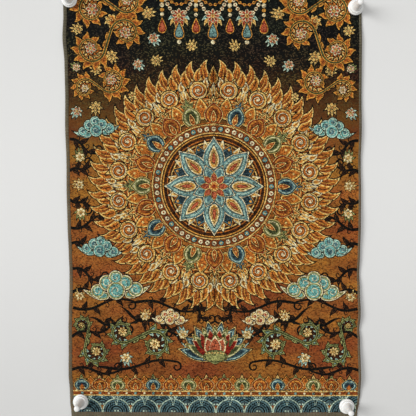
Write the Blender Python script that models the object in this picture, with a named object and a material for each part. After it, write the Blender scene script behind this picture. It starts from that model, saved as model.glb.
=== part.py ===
# A woven brocade wall panel, held flat by four push pins.
# Metres, +Z up, front face toward -Y. The origin lies on the mounting plane,
# midway between the two top pins.
from collections import namedtuple
from math import cos, exp, pi, radians, sin

import bmesh
import bpy

MM = 0.001

# ---- the cloth ----
PANEL_WIDTH = 300 * MM
PANEL_HEIGHT = 450 * MM
TOP_ABOVE_PINS = 25.5 * MM
CLOTH_THICKNESS = 1.0 * MM
SKEW = 0.012              # slope of the weft, downhill to the right
TOP_SAG = 2.0 * MM        # the top edge droops between its two pins

SIDE_BAND = 3.0 * MM      # overlocked edge, sides
END_BAND = 6.0 * MM       # overlocked edge, top and bottom
BAND_RAISE = 0.3 * MM     # the stitching stands this proud of the weave

DRIFT_REACH = 26 * MM     # how far into the cloth an uneven edge is felt
LIFT_REACH = 48 * MM      # how far into the cloth a side ripple runs

# Uneven side edges, a row for each turn of the outline. "in" is how far the edge
# is drawn toward the middle, "lift" how far it stands off the wall, all in mm.
EdgeRow = namedtuple("EdgeRow", "height left_in right_in left_lift right_lift")
EDGE_ROWS = (
    EdgeRow(30, 0.8, 1.0, 1.0, 1.2),
    EdgeRow(5, 0.0, 0.0, 0.0, 0.0),
    EdgeRow(-12, 0.0, 0.0, 0.6, 0.6),
    EdgeRow(-35, -0.8, -0.1, 1.6, 1.4),
    EdgeRow(-59, 0.7, -0.1, 0.9, 1.2),
    EdgeRow(-91, 0.6, -0.1, 0.6, 0.8),
    EdgeRow(-125, 0.3, -0.3, 1.2, 1.8),
    EdgeRow(-157, 0.8, 0.4, 0.7, 0.8),
    EdgeRow(-190, 0.5, 0.0, 1.2, 1.4),
    EdgeRow(-222, 0.7, 0.0, 0.9, 3.0),
    EdgeRow(-254, 1.3, 0.7, 0.8, 1.4),
    EdgeRow(-271, 1.6, 1.4, 0.4, 0.5),
    EdgeRow(-286, 1.4, 0.8, 0.8, 2.2),
    EdgeRow(-314, 0.6, -0.1, 1.8, 3.6),
    EdgeRow(-330, -0.1, 1.3, 2.2, 0.9),
    EdgeRow(-341, -0.3, 0.3, 2.4, 2.4),
    EdgeRow(-380, -0.6, -0.9, 3.0, 4.4),
    EdgeRow(-398, -0.3, -0.5, 1.2, 2.4),
    EdgeRow(-408, 0.0, 0.9, 0.2, 0.6),
    EdgeRow(-417, 0.9, 2.6, 0.0, 0.2),
    EdgeRow(-430, 1.8, 4.2, 0.6, 0.8),
)

# Soft folds in the field, each a long low swell. Centre, half length, half width
# and height in mm, with the angle its length makes with the weft in degrees.
FieldFold = namedtuple("FieldFold", "x z angle length width height")
FIELD_FOLDS = (
    FieldFold(-98, -30, -38, 58, 11, 1.0),
    FieldFold(101, -34, 36, 60, 10, 0.9),
    FieldFold(66, 2, 96, 30, 6, 0.7),
    FieldFold(-30, 6, 84, 34, 8, 0.6),
    FieldFold(-12, -170, 4, 120, 90, 1.3),
    FieldFold(4, -271, 1, 150, 7, 0.8),
    FieldFold(60, -330, 8, 74, 13, 1.0),
    FieldFold(-70, -372, -14, 66, 15, 1.1),
    FieldFold(2, -408, 2, 84, 22, 1.6),
)

# ---- the push pins ----
Pin = namedtuple("Pin", "name x z")
PINS = (               # places of the needles on the wall, in mm
    Pin("top_left", -143.4, 4.5),
    Pin("top_right", 143.4, -4.5),
    Pin("bottom_left", -139.2, -404.5),
    Pin("bottom_right", 136.2, -412.0),
)
FLAT_RADIUS = 11 * MM     # round each pin the cloth is pressed flat to the wall
FLAT_BLEND = 22 * MM      # and rises to its own height over this width

PIN_HEIGHT = 22.5 * MM
NEEDLE_RADIUS = 0.6 * MM
NEEDLE_REACH = 12 * MM    # length behind the mounting plane
NEEDLE_POINT = 3 * MM
SOCKET_DEPTH = 9 * MM
GAP = 0.3 * MM            # clearance between pieces that touch
PIN_SEAT = CLOTH_THICKNESS + BAND_RAISE + GAP   # back of a flange off the wall

# Turned grip, from the back of the flange to the rounded end, in mm: a flange, a
# raised rim with a shallow dish inside it, then a stalk that swells to a nub.
GripRing = namedtuple("GripRing", "radius height")
GRIP_RINGS = (
    GripRing(7.8, 0.0),
    GripRing(8.3, 0.5),
    GripRing(8.3, 1.7),
    GripRing(7.7, 2.3),
    GripRing(6.5, 2.7),
    GripRing(6.7, 3.3),
    GripRing(6.7, 4.2),
    GripRing(6.3, 4.7),
    GripRing(5.7, 4.6),
    GripRing(5.1, 4.2),
    GripRing(4.4, 4.6),
    GripRing(3.8, 6.2),
    GripRing(3.3, 9.0),
    GripRing(3.0, 12.5),
    GripRing(2.9, 16.5),
    GripRing(3.0, 19.5),
    GripRing(2.5, 21.5),
    GripRing(1.4, 22.3),
)

# ---- mesh fineness ----
BORDER_STEPS = (3, 4, 6, 8, 10, 12)   # cell widths inward from a side edge, in mm
MIDDLE_COLUMNS = 14
MIDDLE_ROWS = 72
GRIP_SIDES = 24
NEEDLE_SIDES = 12
HOLE_SIDES = 16


def clear_scene():
    for old in list(bpy.data.objects):
        bpy.data.objects.remove(old, do_unlink=True)


def plain_material(name, colour, roughness, metallic=0.0):
    material = bpy.data.materials.new(name)
    material.use_nodes = True
    shader = material.node_tree.nodes["Principled BSDF"]
    shader.inputs["Base Color"].default_value = (*colour, 1.0)
    shader.inputs["Roughness"].default_value = roughness
    shader.inputs["Metallic"].default_value = metallic
    return material


def add_object(name, mesh, material):
    thing = bpy.data.objects.new(name, mesh)
    mesh.materials.append(material)
    bpy.context.collection.objects.link(thing)
    return thing


def smooth_step(value):
    value = min(max(value, 0.0), 1.0)
    return value * value * (3 - 2 * value)


# Value of one column of the edge table at a height, eased between its rows.
def edge_value(column, z):
    above = EDGE_ROWS[0]
    for below in EDGE_ROWS[1:]:
        if z >= below.height * MM:
            break
        above = below
    share = (above.height * MM - z) / ((above.height - below.height) * MM)
    start = getattr(above, column)
    end = getattr(below, column)
    return (start + (end - start) * smooth_step(share)) * MM


def field_lift(x, z):
    lift = 0.0
    for fold in FIELD_FOLDS:
        turn = radians(fold.angle)
        along = (x / MM - fold.x) * cos(turn) + (z / MM - fold.z) * sin(turn)
        across = (z / MM - fold.z) * cos(turn) - (x / MM - fold.x) * sin(turn)
        lift += fold.height * exp(-(along / fold.length) ** 2 - (across / fold.width) ** 2)
    return lift * MM


# 0 where a pin presses the cloth to the wall, 1 away from the pins.
def pin_freedom(x, z):
    freedom = 1.0
    for pin in PINS:
        distance = ((x - pin.x * MM) ** 2 + (z - pin.z * MM) ** 2) ** 0.5
        freedom = min(freedom, smooth_step((distance - FLAT_RADIUS) / FLAT_BLEND))
    return freedom


# Where a point of the flat panel hangs: its place on the wall and its lift off it.
def hung_point(across, down):
    z = TOP_ABOVE_PINS - down
    x = across - PANEL_WIDTH / 2
    from_left = across
    from_right = PANEL_WIDTH - across
    hung_x = x + edge_value("left_in", z) * exp(-from_left / DRIFT_REACH)
    hung_x -= edge_value("right_in", z) * exp(-from_right / DRIFT_REACH)
    sag = TOP_SAG * cos(pi * x / PANEL_WIDTH) * exp(-down / (2 * DRIFT_REACH))
    hung_z = z - SKEW * x - sag
    lift = edge_value("left_lift", z) * exp(-(from_left / LIFT_REACH) ** 2)
    lift += edge_value("right_lift", z) * exp(-(from_right / LIFT_REACH) ** 2)
    lift += field_lift(hung_x, hung_z)
    return hung_x, hung_z, lift * pin_freedom(hung_x, hung_z)


def column_places():
    places = [0.0]
    for step in BORDER_STEPS:
        places.append(places[-1] + step * MM)
    inner = PANEL_WIDTH - 2 * places[-1]
    left = list(places)
    middle = [left[-1] + inner * i / MIDDLE_COLUMNS for i in range(1, MIDDLE_COLUMNS)]
    right = [PANEL_WIDTH - place for place in reversed(left)]
    return left + middle + right


def row_places():
    inner = PANEL_HEIGHT - 2 * END_BAND
    middle = [END_BAND + inner * i / MIDDLE_ROWS for i in range(MIDDLE_ROWS + 1)]
    return [0.0] + middle + [PANEL_HEIGHT]


# The stitched edge is proud along its outer line and falls to the weave inward.
def band_raise(across, down):
    beside = min(across, PANEL_WIDTH - across)
    beyond = min(down, PANEL_HEIGHT - down)
    stitched = beside < SIDE_BAND / 2 or beyond < END_BAND / 2
    return BAND_RAISE if stitched else 0.0


# The panel as one closed sheet: a back skin, a front skin and the four edges.
def build_cloth(material):
    columns = column_places()
    rows = row_places()
    sheet = bmesh.new()
    back = []
    front = []
    for down in rows:
        back_row = []
        front_row = []
        for across in columns:
            x, z, lift = hung_point(across, down)
            front_lift = lift + CLOTH_THICKNESS + band_raise(across, down)
            back_row.append(sheet.verts.new((x, -lift, z)))
            front_row.append(sheet.verts.new((x, -front_lift, z)))
        back.append(back_row)
        front.append(front_row)
    for r in range(len(rows) - 1):
        for c in range(len(columns) - 1):
            add_cell(sheet, front, r, c, facing_front=True)
            add_cell(sheet, back, r, c, facing_front=False)
    rim_front = rim_loop(front)
    rim_back = rim_loop(back)
    for i in range(len(rim_front)):
        j = (i + 1) % len(rim_front)
        sheet.faces.new((rim_front[i], rim_back[i], rim_back[j], rim_front[j]))
    bmesh.ops.recalc_face_normals(sheet, faces=sheet.faces)
    mesh = bpy.data.meshes.new("cloth")
    sheet.to_mesh(mesh)
    sheet.free()
    return add_object("cloth", mesh, material)


def add_cell(sheet, grid, r, c, facing_front):
    corners = (grid[r][c], grid[r + 1][c], grid[r + 1][c + 1], grid[r][c + 1])
    first = (corners[0], corners[1], corners[2])
    second = (corners[0], corners[2], corners[3])
    for triangle in (first, second):
        sheet.faces.new(triangle if facing_front else tuple(reversed(triangle)))


def rim_loop(grid):
    top = list(grid[0])
    right = [row[-1] for row in grid[1:-1]]
    bottom = list(reversed(grid[-1]))
    left = [row[0] for row in reversed(grid[1:-1])]
    return top + right + bottom + left


# A solid turned about local Z from (radius, height) pairs; radius 0 is on the axis.
def turned_mesh(name, profile, sides):
    solid = bmesh.new()
    rings = []
    for radius, height in profile:
        if radius == 0:
            rings.append([solid.verts.new((0, 0, height))])
            continue
        ring = []
        for i in range(sides):
            angle = 2 * pi * i / sides
            ring.append(solid.verts.new((radius * cos(angle), radius * sin(angle), height)))
        rings.append(ring)
    for lower, upper in zip(rings, rings[1:]):
        for i in range(sides):
            j = (i + 1) % sides
            corners = [lower[i % len(lower)], lower[j % len(lower)]]
            corners += [upper[j % len(upper)], upper[i % len(upper)]]
            distinct = list(dict.fromkeys(corners))
            solid.faces.new(distinct)
    bmesh.ops.recalc_face_normals(solid, faces=solid.faces)
    mesh = bpy.data.meshes.new(name)
    solid.to_mesh(mesh)
    solid.free()
    mesh.shade_smooth()
    mesh.set_sharp_from_angle(angle=radians(40))
    return mesh


def grip_mesh():
    socket = NEEDLE_RADIUS + GAP
    profile = [(0, SOCKET_DEPTH), (socket, SOCKET_DEPTH), (socket, 0)]
    profile += [(ring.radius * MM, ring.height * MM) for ring in GRIP_RINGS]
    profile += [(0, PIN_HEIGHT)]
    return turned_mesh("grip", profile, GRIP_SIDES)


# The needle runs from just short of the socket's end to a point behind the wall line.
def needle_mesh():
    tip = -PIN_SEAT - NEEDLE_REACH
    profile = [(0, tip), (NEEDLE_RADIUS, tip + NEEDLE_POINT)]
    profile += [(NEEDLE_RADIUS, SOCKET_DEPTH - GAP), (0, SOCKET_DEPTH - GAP)]
    return turned_mesh("needle", profile, NEEDLE_SIDES)


def cut_needle_hole(cloth, pin):
    cut_length = 8 * CLOTH_THICKNESS
    bpy.ops.mesh.primitive_cylinder_add(
        vertices=HOLE_SIDES, radius=NEEDLE_RADIUS + GAP, depth=cut_length,
        location=(pin.x * MM, 0, pin.z * MM), rotation=(radians(90), 0, 0))
    cutter = bpy.context.object
    cutter.name = "cut_" + pin.name
    cutter.hide_render = True
    cutter.display_type = "WIRE"
    hole = cloth.modifiers.new("needle_hole_" + pin.name, "BOOLEAN")
    hole.operation = "DIFFERENCE"
    hole.solver = "EXACT"
    hole.object = cutter


def build_pins(cloth, plastic, steel):
    grip = grip_mesh()
    needle = needle_mesh()
    grip.materials.append(plastic)
    needle.materials.append(steel)
    for pin in PINS:
        seat = (pin.x * MM, -PIN_SEAT, pin.z * MM)
        for prefix, mesh in (("pin_", grip), ("needle_", needle)):
            piece = bpy.data.objects.new(prefix + pin.name, mesh)
            piece.location = seat
            piece.rotation_euler = (radians(90), 0, 0)
            bpy.context.collection.objects.link(piece)
        cut_needle_hole(cloth, pin)


def build_panel():
    clear_scene()
    weave = plain_material("brocade", (0.19, 0.085, 0.028), 0.75)
    plastic = plain_material("white_plastic", (0.84, 0.84, 0.82), 0.28)
    steel = plain_material("steel", (0.55, 0.56, 0.58), 0.3, metallic=1.0)
    cloth = build_cloth(weave)
    build_pins(cloth, plastic, steel)


build_panel()
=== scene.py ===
from math import acos, atan2, cos, hypot, pi, radians, sin

import bpy
import numpy as np
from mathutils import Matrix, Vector
from mathutils.geometry import delaunay_2d_cdt


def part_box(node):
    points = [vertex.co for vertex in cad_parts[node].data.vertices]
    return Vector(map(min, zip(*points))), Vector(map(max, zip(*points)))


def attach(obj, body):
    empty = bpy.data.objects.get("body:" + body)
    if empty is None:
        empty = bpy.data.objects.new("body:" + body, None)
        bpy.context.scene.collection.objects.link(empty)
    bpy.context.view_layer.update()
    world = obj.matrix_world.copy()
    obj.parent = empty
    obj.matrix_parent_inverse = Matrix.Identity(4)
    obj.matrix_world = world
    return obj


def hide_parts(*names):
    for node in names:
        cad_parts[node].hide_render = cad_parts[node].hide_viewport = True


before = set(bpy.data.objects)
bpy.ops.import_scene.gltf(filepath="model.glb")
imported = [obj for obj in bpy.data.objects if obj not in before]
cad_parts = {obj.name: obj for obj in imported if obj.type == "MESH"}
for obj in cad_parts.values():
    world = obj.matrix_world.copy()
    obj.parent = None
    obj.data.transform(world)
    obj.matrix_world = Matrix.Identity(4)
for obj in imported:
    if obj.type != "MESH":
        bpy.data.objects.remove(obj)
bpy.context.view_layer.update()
mm = 0.001   # the sizes below are in millimetres, unless a note says metres


def deselectAll():
    for thing in bpy.context.selected_objects:
        thing.select_set(False)


def pickOnly(thing):
    deselectAll()
    thing.select_set(True)
    bpy.context.view_layer.objects.active = thing


def pointsOf(mesh):
    places = np.zeros(len(mesh.vertices) * 3)
    mesh.vertices.foreach_get("co", places)
    return places.reshape(-1, 3)


def movePoints(mesh, places):
    mesh.vertices.foreach_set("co", places.ravel())
    mesh.update()


def newPiece(name, places, faces, materials):
    mesh = bpy.data.meshes.new(name)
    mesh.from_pydata([tuple(p) for p in places.tolist()], [], faces)
    for material in materials:
        mesh.materials.append(material)
    piece = bpy.data.objects.new(name, mesh)
    bpy.context.collection.objects.link(piece)
    return piece


def paint(red, green, blue):   # a colour as seen on a screen, 0 to 255, to linear light
    parts = []
    for value in (red, green, blue):
        share = value / 255
        parts.append(share / 12.92 if share <= 0.04045 else ((share + 0.055) / 1.055) ** 2.4)
    return (*parts, 1.0)


def dyed(colour, strength):   # the same dye, weaker or stronger
    return tuple(min(value * strength, 1.0) for value in colour[:3]) + (1.0,)


# camera and light

cameraLook = {
    "lens": 54.52,
    "sensor": 36.0,
    "near": 0.02,                        # metres
    "place": (-11.05, -643.0, -171.5),   # in front of the panel and a little to the left
    "turn": (87.0, 0.4, -0.45),          # degrees, 90 looks level
}

lightLook = {
    "lights": (   # name, place, width, power
        ("keyLight", (-12.9, -9.6, 3.3), 9.0, 2030.0),   # metres, from the left
        ("fillLight", (0.6, -4.0, 0.6), 3.0, 30.0),
    ),
    "aim": (0.0, 0.0, -0.2),
    "skyStrength": 0.36,
    "skyColour": (0.985, 0.99, 1.0, 1.0),
}


def addCamera(look):
    bpy.ops.object.camera_add(location=[value * mm for value in look["place"]],
                              rotation=[radians(value) for value in look["turn"]])
    camera = bpy.context.object
    camera.name = "viewCamera"
    camera.data.lens = look["lens"]
    camera.data.sensor_width = look["sensor"]
    camera.data.clip_start = look["near"]
    bpy.context.scene.camera = camera


def addSoftLight(name, place, width, power, aim):
    toward = (Vector(aim) - Vector(place)).to_track_quat("-Z", "Y").to_euler()
    bpy.ops.object.light_add(type="AREA", location=place, rotation=toward)
    light = bpy.context.object
    light.name = name
    light.data.shape = "DISK"
    light.data.size = width
    light.data.energy = power


def addSky(look):
    world = bpy.data.worlds.new("studio")
    world.use_nodes = True
    background = world.node_tree.nodes["Background"]
    background.inputs["Color"].default_value = look["skyColour"]
    background.inputs["Strength"].default_value = look["skyStrength"]
    bpy.context.scene.world = world


addCamera(cameraLook)
for light in lightLook["lights"]:
    addSoftLight(*light, lightLook["aim"])
addSky(lightLook)
bpy.context.scene.view_settings.view_transform = "Standard"
print("camera and light set")


# helpers for the materials' nodes

def newMaterial(name):
    material = bpy.data.materials.new(name)
    material.use_nodes = True
    tree = material.node_tree
    return material, tree, tree.nodes["Principled BSDF"]


def plug(tree, socket, value):   # a constant, or what another node gives
    if isinstance(value, (int, float, tuple)):
        socket.default_value = value
    else:
        tree.links.new(value, socket)


def addNode(tree, kind, inputs=None, **settings):
    made = tree.nodes.new("ShaderNode" + kind)
    for key, value in settings.items():
        setattr(made, key, value)
    for key, value in (inputs or {}).items():
        plug(tree, made.inputs[key], value)
    return made


def maths(tree, operation, *terms):
    return addNode(tree, "Math", dict(enumerate(terms)), operation=operation).outputs[0]


def mixColour(tree, share, first, second, blend="MIX"):
    return addNode(tree, "Mix", {0: share, 6: first, 7: second}, data_type="RGBA",
                   blend_type=blend).outputs[2]


def objectSpot(tree):
    return addNode(tree, "TexCoord").outputs["Object"]


def stretched(tree, spot, *scale):
    return addNode(tree, "Mapping", {"Vector": spot, "Scale": scale}).outputs[0]


def noise(tree, spot, scale, detail, roughness=0.5):
    return addNode(tree, "TexNoise", {"Vector": spot, "Scale": scale, "Detail": detail,
                                      "Roughness": roughness}).outputs[0]


def addRamp(tree, share, stops, interpolation="LINEAR"):   # stops: place from 0 to 1, colour
    ramp = addNode(tree, "ValToRGB", {"Fac": share})
    band = ramp.color_ramp
    band.interpolation = interpolation
    band.elements[0].position, band.elements[0].color = stops[0]
    band.elements[1].position, band.elements[1].color = stops[-1]
    for position, colour in stops[1:-1]:
        band.elements.new(position).color = colour
    return ramp.outputs[0]


def finishShader(tree, shader, inputs, relief, strength, depth):   # depth of the bump in mm
    bump = addNode(tree, "Bump", {"Strength": strength, "Distance": depth * mm,
                                  "Height": relief})
    for key, value in {**inputs, "Normal": bump.outputs[0]}.items():
        plug(tree, shader.inputs[key], value)


# the room: a pale wall behind the panel and a pale floor well below it

roomLook = {
    "wallBehind": 0.12,     # mm behind the mounting plane
    "wallWide": 5.0,        # metres from here on
    "wallHigh": 3.2,
    "floorWide": 6.0,
    "floorBelow": 1.25,     # below the top pins
    "wallColour": (230, 230, 228),
    "paintedLightPool": (               # height, share of the wall's brightness in a painted pool of light
        (-0.70, 0.80), (-0.41, 0.845), (-0.30, 0.946), (-0.20, 1.0), (-0.10, 0.99),
        (0.06, 0.92), (0.30, 0.90)),
    "floorColour": (214, 213, 210),
}


def plasterMaterial(name, colour, paintedLightPool=None):
    material, tree, shader = newMaterial(name)
    spot = objectSpot(tree)
    tone = maths(tree, "MULTIPLY_ADD", noise(tree, spot, 2.2, 2.0), 0.10, 0.95)
    rgb = paint(*colour)
    plaster = mixColour(tree, tone, dyed(rgb, 0.9), rgb)
    if paintedLightPool:   # painted pool of daylight: the wall's colour is brightest at half the panel's height and darker above and below
        low, high = paintedLightPool[0][0], paintedLightPool[-1][0]
        height = addNode(tree, "SeparateXYZ", {0: spot}).outputs[2]
        share = maths(tree, "DIVIDE", maths(tree, "SUBTRACT", height, low), high - low)
        light = addRamp(tree, share, [((z - low) / (high - low), (level, level, level, 1.0))
                                      for z, level in paintedLightPool], "B_SPLINE")
        plaster = mixColour(tree, 1.0, plaster, light, "MULTIPLY")
    finishShader(tree, shader, {"Base Color": plaster, "Roughness": 0.72},
                 noise(tree, spot, 260.0, 3.0), 0.12, 0.6)
    if paintedLightPool:   # seen from behind, the wall doesn't hide the panel
        clear = addNode(tree, "BsdfTransparent").outputs[0]
        side = addNode(tree, "NewGeometry").outputs["Backfacing"]
        join = addNode(tree, "MixShader", {0: side, 1: shader.outputs[0], 2: clear})
        tree.links.new(join.outputs[0], tree.nodes["Material Output"].inputs["Surface"])
    return material


def addRoom(look):
    deselectAll()
    bpy.ops.mesh.primitive_plane_add(size=1)
    wall = bpy.context.object
    wall.name = "backWall"
    middle = look["wallHigh"] / 2 - look["floorBelow"]
    for corner in wall.data.vertices:
        corner.co = (corner.co.x * look["wallWide"], look["wallBehind"] * mm,
                     corner.co.y * look["wallHigh"] + middle)
    wall.data.materials.append(plasterMaterial("wallPaint", look["wallColour"],
                                              look["paintedLightPool"]))
    wall.visible_shadow = False          # the room's light still reaches the panel's back
    wall.visible_diffuse = False
    wall.visible_glossy = False
    deselectAll()
    bpy.ops.mesh.primitive_plane_add(size=look["floorWide"], location=(
        0, -look["floorWide"] / 2, -look["floorBelow"]))
    floor = bpy.context.object
    floor.name = "paleFloor"
    floor.data.materials.append(plasterMaterial("floorPaint", look["floorColour"]))


addRoom(roomLook)
print("room built")


# how the panel hangs, from the point midway between the top pins

panel = {
    "width": 300.0,
    "height": 450.0,
    "topAbovePins": 25.5,
    "backOffWall": 0.08,
    "thick": 0.86,
    "skew": 0.012,         # the weft runs downhill to the right
    "topSag": 2.0,
    "driftReach": 26.0,
    "liftReach": 48.0,
    "sideBand": 3.4,       # overlocked edge
    "rightBand": 2.4,
    "endBand": 7.2,
    "flatRound": 11.0,     # pressed flat this far round each pin
    "flatBlend": 22.0,
    "cell": 2.0,           # mesh fineness
}
panelTop = panel["topAbovePins"]
panelFoot = panelTop - panel["height"]
halfWide = panel["width"] / 2

pinPlaces = {
    "top_left": (-143.4, 4.5),
    "top_right": (143.4, -4.5),
    "bottom_left": (-139.2, -404.5),
    "bottom_right": (136.2, -412.0),
}

edgeTurns = (   # height, left drawn in, right drawn in, left lift, right lift
    (30, 0.8, 1.4, 1.0, 1.2),
    (5, 0.2, 0.4, 0.0, 0.0),
    (-12, 0.3, 0.5, 0.6, 0.6),
    (-35, -0.6, 0.4, 1.6, 1.4),
    (-59, 0.7, 0.4, 0.9, 1.2),
    (-91, 0.8, 0.4, 0.6, 0.8),
    (-125, 0.3, 0.2, 1.2, 1.8),
    (-157, 0.9, 0.9, 0.7, 0.8),
    (-190, 0.6, 0.4, 1.2, 1.4),
    (-222, 0.8, 0.7, 0.9, 2.3),
    (-254, 1.5, 1.1, 0.8, 1.4),
    (-271, 1.8, 1.7, 0.4, 0.5),
    (-286, 1.6, 1.2, 0.8, 1.6),
    (-314, 0.6, 0.4, 1.8, 2.7),
    (-330, 0.1, 1.3, 2.2, 0.9),
    (-341, 0.1, 0.7, 2.4, 1.8),
    (-380, -0.5, -0.2, 3.0, 3.7),
    (-398, -0.2, 0.0, 1.2, 2.2),
    (-408, 0.0, 0.9, 0.2, 0.6),
    (-417, 0.9, 2.6, 0.0, 0.2),
    (-430, 1.8, 4.2, 0.6, 0.8),
)

softFolds = (   # x, z, angle from the weft, half length, half width, height
    (-98, -30, -38, 58, 11, 1.0),
    (101, -34, 36, 60, 10, 0.9),
    (66, 2, 96, 30, 6, 0.7),
    (-30, 6, 84, 34, 8, 0.6),
    (-12, -170, 4, 120, 90, 1.3),
    (4, -271, 1, 150, 7, 0.8),
    (60, -330, 8, 74, 13, 1.0),
    (-70, -372, -14, 66, 15, 1.1),
    (2, -408, 2, 84, 22, 1.6),
)

fineCreases = (   # the same columns: small ones that only the finished cloth has
    (118, -222, 12, 26, 4.5, 0.5),
    (122, -262, -8, 24, 3.5, -0.35),
    (126, -300, 14, 22, 4.0, 0.5),
    (128, -329, -4, 20, 2.6, -0.45),
    (-128, -268, 6, 24, 4.0, -0.35),
    (-124, -350, -10, 26, 5.0, 0.45),
    (-60, -271, 3, 70, 2.2, -0.3),
    (70, -272, -2, 60, 2.4, -0.3),
    (-116, 2, -62, 16, 2.6, 0.3),
    (120, -24, 52, 18, 2.8, 0.3),
    (-112, -396, 40, 20, 3.2, 0.35),
    (108, -396, -38, 22, 3.4, 0.4),
)


def edgeValue(column, z):
    heights = np.array([row[0] for row in edgeTurns], float)
    values = np.array([row[column] for row in edgeTurns], float)
    z = np.clip(z, heights[-1], heights[0])
    below = np.clip(np.searchsorted(-heights, -z), 1, len(heights) - 1)
    share = (heights[below - 1] - z) / (heights[below - 1] - heights[below])
    ease = share * share * (3 - 2 * share)
    return values[below - 1] + (values[below] - values[below - 1]) * ease


def hang(x, z, proud=0.0):   # a place on the flat panel and its height off the face, to metres
    x = np.asarray(x, float)
    z = np.asarray(z, float)
    fromLeft = x + halfWide
    fromRight = halfWide - x
    down = panelTop - z
    hungX = x + edgeValue(1, z) * np.exp(-fromLeft / panel["driftReach"])
    hungX = hungX - edgeValue(2, z) * np.exp(-fromRight / panel["driftReach"])
    sag = panel["topSag"] * np.cos(pi * x / panel["width"])
    hungZ = z - panel["skew"] * x - sag * np.exp(-down / (2 * panel["driftReach"]))
    lift = edgeValue(3, z) * np.exp(-(fromLeft / panel["liftReach"]) ** 2)
    lift = lift + edgeValue(4, z) * np.exp(-(fromRight / panel["liftReach"]) ** 2)
    for foldX, foldZ, angle, length, width, height in softFolds + fineCreases:
        turn = radians(angle)
        along = (hungX - foldX) * cos(turn) + (hungZ - foldZ) * sin(turn)
        across = (hungZ - foldZ) * cos(turn) - (hungX - foldX) * sin(turn)
        lift = lift + height * np.exp(-(along / length) ** 2 - (across / width) ** 2)
    freedom = np.ones_like(hungX)
    for pinX, pinZ in pinPlaces.values():
        away = np.hypot(hungX - pinX, hungZ - pinZ)
        share = np.clip((away - panel["flatRound"]) / panel["flatBlend"], 0, 1)
        freedom = np.minimum(freedom, share * share * (3 - 2 * share))
    lift = np.maximum(lift * freedom, 0)
    front = lift + panel["backOffWall"] + panel["thick"] + proud
    return np.stack([hungX * mm, -front * mm, hungZ * mm], axis=-1)


# woven threads: colours as the panel shows them, and a stray thread of another dye in each

threadColours = {
    "ink": ((13, 12, 9), (38, 32, 20)),
    "bark": ((58, 32, 16), (98, 56, 24)),
    "russet": ((134, 70, 28), (86, 40, 18)),
    "amber": ((184, 106, 40), (132, 64, 28)),
    "gold": ((212, 150, 64), (164, 94, 38)),
    "straw": ((228, 190, 114), (184, 130, 62)),
    "cream": ((230, 212, 170), (186, 148, 96)),
    "garnet": ((124, 30, 20), (160, 62, 36)),
    "coral": ((184, 96, 62), (140, 54, 36)),
    "midnight": ((36, 52, 58), (68, 86, 88)),
    "slate": ((82, 114, 118), (50, 72, 78)),
    "lagoon": ((118, 154, 146), (74, 106, 106)),
    "pewter": ((70, 85, 86), (40, 49, 50)),
    "jade": ((112, 170, 160), (74, 124, 122)),
    "mist": ((184, 204, 180), (128, 156, 140)),
    "moss": ((74, 80, 46), (46, 50, 30)),
    "sage": ((152, 152, 92), (104, 106, 60)),
}

weaveLook = {
    "cellWide": 1.15,        # mm, a float of weft as seen from a step away
    "cellHigh": 0.85,
    "slantWide": 2.4,        # mm, longer floats that step along a twill line
    "slantHigh": 1.2,
    "slant": 0.7,
    "warpPitch": 0.62,       # mm between threads
    "weftPitch": 0.46,
    "twill": 0.333,          # share of a warp pitch that each weft steps aside
    "slubSize": 26.0,        # mm, slow drift of the dye
    "bump": 0.09,            # mm
    "longShare": 0.34,       # how much the longer floats count in the choice of a thread
    "floats": ((0.0, 0.26), (0.27, 0.62), (0.40, 1.0), (0.60, 1.42)),   # from, strength of dye
    "strayFrom": 0.78,
}


def hashCell(tree, first, second):   # one random value for each crossing
    cell = addNode(tree, "CombineXYZ", {0: maths(tree, "FLOOR", first),
                                        1: maths(tree, "FLOOR", second)}).outputs[0]
    return addNode(tree, "TexWhiteNoise", {"Vector": cell}).outputs[0]


def weaveNodes(tree):
    look = weaveLook
    spot = objectSpot(tree)
    split = addNode(tree, "SeparateXYZ", {0: spot})
    across, up = split.outputs[0], split.outputs[2]
    slanted = maths(tree, "MULTIPLY_ADD", up, look["slant"], across)
    small, long, (warp, weft) = [
        [maths(tree, "DIVIDE", line, look[size] * mm) for line, size in pair]
        for pair in (((across, "cellWide"), (up, "cellHigh")),
                     ((slanted, "slantWide"), (up, "slantHigh")),
                     ((across, "warpPitch"), (up, "weftPitch")))]
    small, long = hashCell(tree, *small), hashCell(tree, *long)
    chance = maths(tree, "MULTIPLY_ADD", long, look["longShare"],
                   maths(tree, "MULTIPLY", small, 1 - look["longShare"]))
    slub = noise(tree, spot, 1000 / look["slubSize"], 3.0, 0.6)
    step = maths(tree, "MULTIPLY_ADD", maths(tree, "FLOOR", weft), look["twill"], warp)
    rib, pick = (maths(tree, "SQRT", maths(tree, "PINGPONG", line, 0.5))
                 for line in (step, weft))
    return {"spot": spot, "up": up, "chance": chance, "small": small, "slub": slub,
            "height": maths(tree, "MULTIPLY", rib, pick)}


def finishWeave(tree, shader, nodes, colour):
    # painted shade: the colour darkens in the grooves between threads and is a little brighter on
    # their crowns, following the bump's height
    paintedGrooveShade = maths(tree, "MULTIPLY_ADD", nodes["height"], 0.77, 0.71)
    finishShader(tree, shader, {
        "Base Color": mixColour(tree, 1.0, colour, paintedGrooveShade, "MULTIPLY"), "Roughness": 0.68,
        "Specular IOR Level": 0.08, "Sheen Weight": 0.01, "Sheen Roughness": 0.4,
    }, nodes["height"], 0.7, weaveLook["bump"])


def threadMaterial(name, colour, stray):
    material, tree, shader = newMaterial("thread_" + name)
    nodes = weaveNodes(tree)
    rgb = paint(*colour)
    stops = [(start, dyed(rgb, strength)) for start, strength in weaveLook["floats"]]
    stops.append((weaveLook["strayFrom"], paint(*stray)))
    woven = addRamp(tree, nodes["chance"], stops, "CONSTANT")
    drift = maths(tree, "MULTIPLY_ADD", nodes["slub"], 0.7, 0.66)
    finishWeave(tree, shader, nodes, mixColour(tree, 1.0, woven, drift, "MULTIPLY"))
    return material


threads = {name: threadMaterial(name, *colours) for name, colours in threadColours.items()}


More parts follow.
